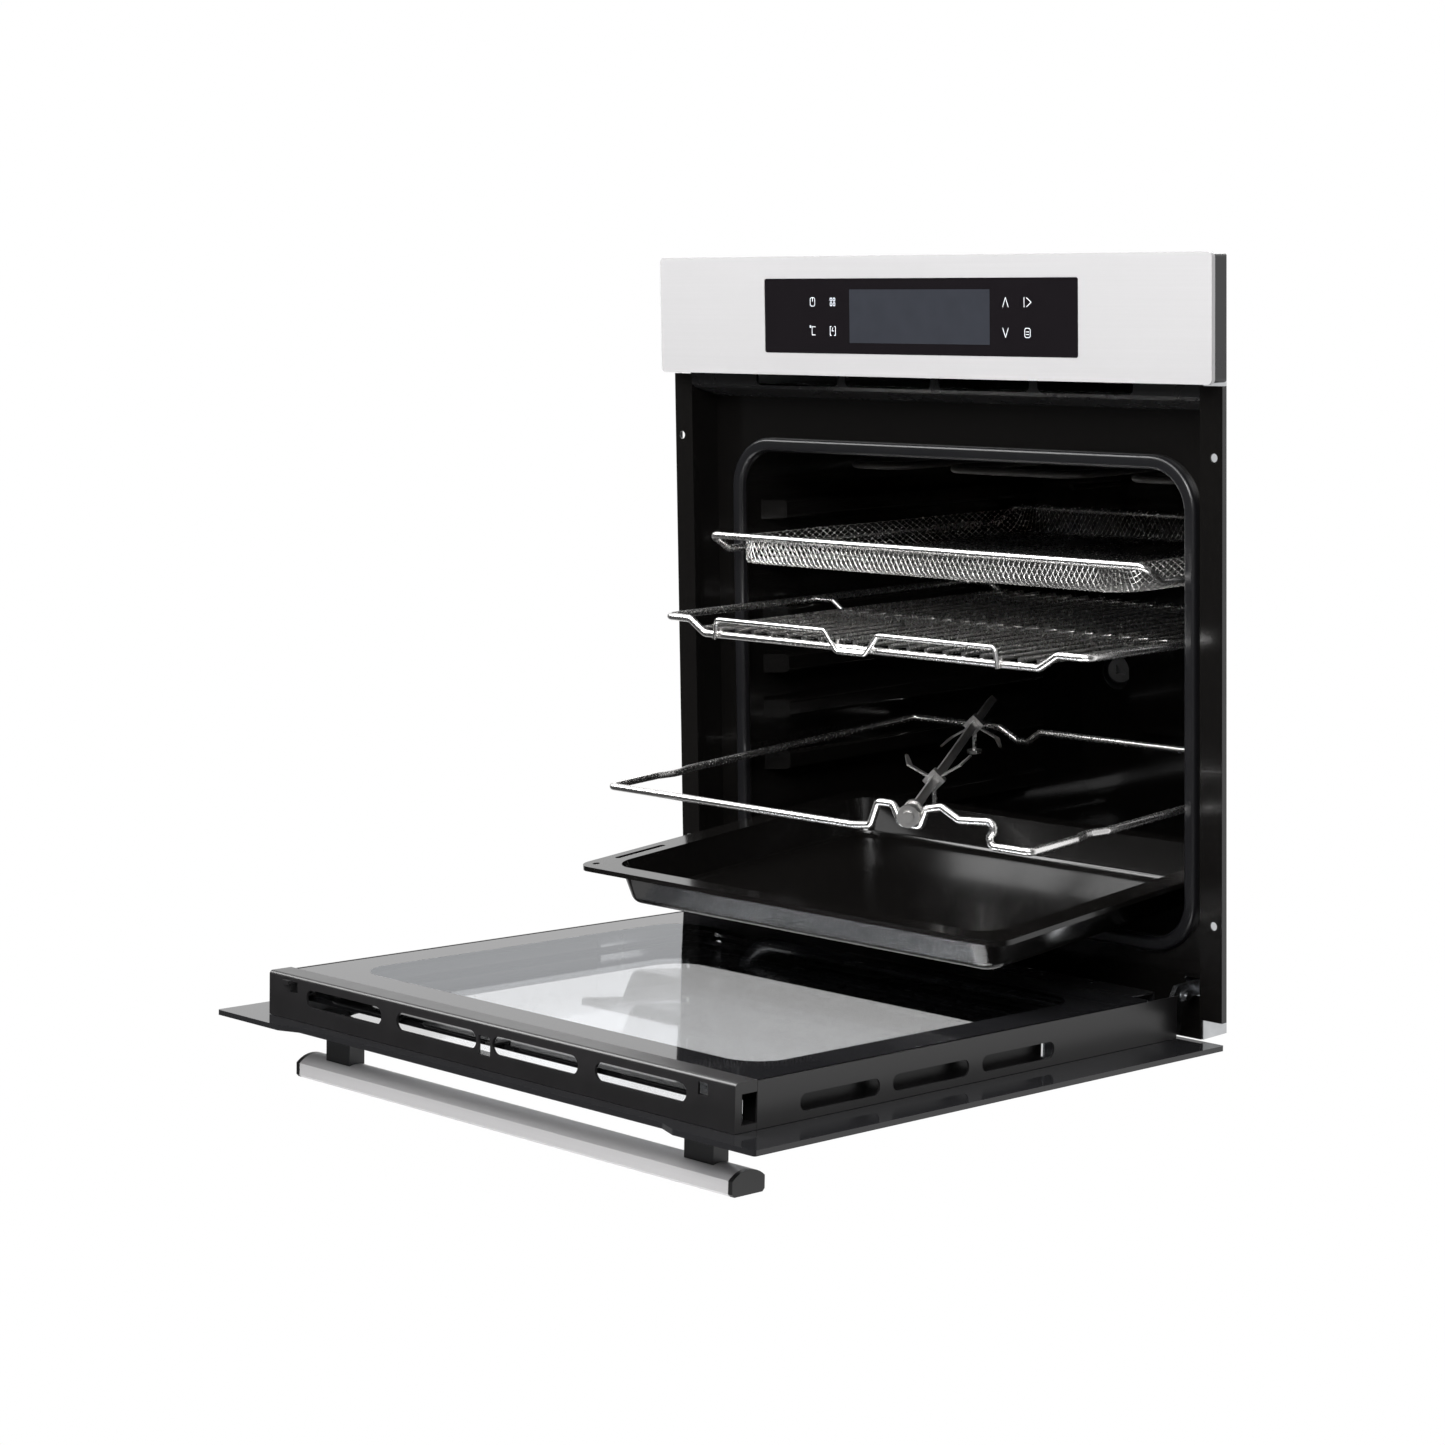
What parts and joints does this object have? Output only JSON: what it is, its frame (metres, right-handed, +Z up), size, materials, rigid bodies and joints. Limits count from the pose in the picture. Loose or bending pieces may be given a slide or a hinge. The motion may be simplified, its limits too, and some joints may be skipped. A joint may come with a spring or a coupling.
{
  "type": "wall oven",
  "caption": "Built-in single wall oven with a steel touch fascia, a drop-down glass door standing open, and a basket, rack, rotisserie and tray pulled out.",
  "frame": {"origin": "centre of the four fixing holes in the front flange, on the flange's rear face, where it meets the cabinet", "axes": "+Y into the cabinet, +Z up, +X to the right seen from the front"},
  "size_m": [0.595, 1.0343, 0.6223],
  "materials": {
    "black_enamel": "glossy black vitreous enamel",
    "brushed_steel": "fine horizontal brushing",
    "handle_cap_black": "satin black",
    "post_steel": "satin",
    "vent_black": "smooth black",
    "trim_dark": "satin near-black paint",
    "galvanised": "bright zinc-coated sheet",
    "zinc_steel": "zinc plated",
    "gasket_silicone": "smooth silicone",
    "mineral_wool": "fibrous",
    "element_steel": "dark oxidised",
    "motor_steel": "dull steel",
    "fan_steel": "plain pressed",
    "lamp_ceramic": "glazed ceramic",
    "lamp_glass": "clear",
    "terminal_plastic": "matt",
    "circuit_board": "solder-masked",
    "display_glass": "dark glass, printed symbols",
    "door_glass_outer": "dark mirror-coated glass",
    "door_glass_clear": "clear, low-emission coating",
    "chrome_wire": "bright",
    "spit_steel": "bright drawn"
  },
  "bodies": {
    "oven_body": {"front_frame": "black_enamel", "vent_strip": "vent_black", "cavity_liner": "black_enamel", "cavity_gasket": "gasket_silicone", "rear_baffle": "black_enamel", "side_panel_left": "galvanised", "side_panel_right": "galvanised", "top_panel": "galvanised", "rear_panel": "galvanised", "base_pan": "galvanised", "cooling_deck": "galvanised", "casing_screws": "zinc_steel", "insulation_wrap": "mineral_wool", "grill_element": "element_steel", "bottom_element": "element_steel", "ring_element": "element_steel", "convection_motor": "motor_steel", "cooling_fan_housing": "galvanised", "cooling_motor": "motor_steel", "air_duct": "galvanised", "lamp_holder": "lamp_ceramic", "lamp_bulb": "lamp_glass", "lamp_lens": "lamp_glass", "temperature_probe": "element_steel", "terminal_block": "terminal_plastic", "power_board": "circuit_board", "fascia_panel": "brushed_steel", "fascia_carrier": "vent_black", "display_glass": "display_glass", "control_board": "circuit_board", "rotisserie_motor": "motor_steel", "hinge_receivers": "zinc_steel", "hinge_arm_left": "zinc_steel", "hinge_arm_right": "zinc_steel"},
    "door": {"door_outer_glass": "door_glass_outer", "door_middle_glass": "door_glass_clear", "door_inner_glass": "door_glass_clear", "door_top_trim": "trim_dark", "door_bottom_rail": "vent_black", "door_side_profile_left": "trim_dark", "door_side_profile_right": "trim_dark", "door_hinge_body_left": "zinc_steel", "door_hinge_body_right": "zinc_steel", "handle_bar": "brushed_steel", "handle_end_caps": "handle_cap_black", "handle_posts": "post_steel", "handle_screws": "zinc_steel"},
    "convection_fan_wheel": {"convection_fan": "fan_steel"},
    "cooling_fan_wheel": {"cooling_rotor": "fan_steel"},
    "drive_socket": {"rotisserie_drive_socket": "fan_steel"},
    "lock_left": {"hinge_lock_left": "zinc_steel"},
    "lock_right": {"hinge_lock_right": "zinc_steel"},
    "basket": {"basket_rim": "chrome_wire", "basket_mesh": "chrome_wire"},
    "rack": {"wire_rack": "chrome_wire"},
    "rotisserie": {"rotisserie_frame": "chrome_wire"},
    "spit": {"spit_rod": "spit_steel", "spit_forks": "spit_steel", "fork_thumbscrews": "chrome_wire"},
    "tray": {"baking_tray": "black_enamel"}
  },
  "joints": [
    {"name": "door_hinge", "type": "hinge", "parent": "oven_body", "child": "door", "pos_m": [0, -0.0044, -0.25855], "axis": [-1, 0, 0], "range_deg": [0, 87.5]},
    {"name": "basket_slide", "type": "slide", "parent": "oven_body", "child": "basket", "axis": [0, 1, 0], "range_m": [0, 0.049]},
    {"name": "rack_slide", "type": "slide", "parent": "oven_body", "child": "rack", "axis": [0, 1, 0], "range_m": [0, 0.11]},
    {"name": "rotisserie_slide", "type": "slide", "parent": "oven_body", "child": "rotisserie", "axis": [0, 0.9988, 0.0479], "range_m": [0, 0.185]},
    {"name": "tray_slide", "type": "slide", "parent": "oven_body", "child": "tray", "axis": [0, 0.9979, 0.0649], "range_m": [0, 0.312]},
    {"name": "spit_spin", "type": "hinge", "parent": "rotisserie", "child": "spit", "pos_m": [0.111, -0.1424, -0.09075], "axis": [-0.5784, 0.8155, 0.0212], "continuous": true},
    {"name": "drive_socket_spin", "type": "hinge", "parent": "oven_body", "child": "drive_socket", "pos_m": [-0.21015, 0.4952, -0.07012], "axis": [-0.5784, 0.8155, 0.0212], "continuous": true},
    {"name": "convection_fan_spin", "type": "hinge", "parent": "oven_body", "child": "convection_fan_wheel", "pos_m": [0, 0.4666, 0.00725], "axis": [0, 1, 0], "continuous": true},
    {"name": "cooling_fan_spin", "type": "hinge", "parent": "oven_body", "child": "cooling_fan_wheel", "pos_m": [0, 0.3846, 0.23225], "axis": [0, 0, 1], "continuous": true},
    {"name": "lock_left_swing", "type": "hinge", "parent": "oven_body", "child": "lock_left", "pos_m": [-0.2528, 0.0116, -0.23675], "axis": [1, 0, 0], "range_deg": [0, 60]},
    {"name": "lock_right_swing", "type": "hinge", "parent": "oven_body", "child": "lock_right", "pos_m": [0.2528, 0.0116, -0.23675], "axis": [1, 0, 0], "range_deg": [0, 60]}
  ],
  "couplings": [
    {"joint": "basket_slide", "follows": "door_hinge", "m_per_rad": 0.03208},
    {"joint": "rack_slide", "follows": "door_hinge", "m_per_rad": 0.072},
    {"joint": "rotisserie_slide", "follows": "door_hinge", "m_per_rad": 0.1211},
    {"joint": "tray_slide", "follows": "door_hinge", "m_per_rad": 0.2039}
  ]
}
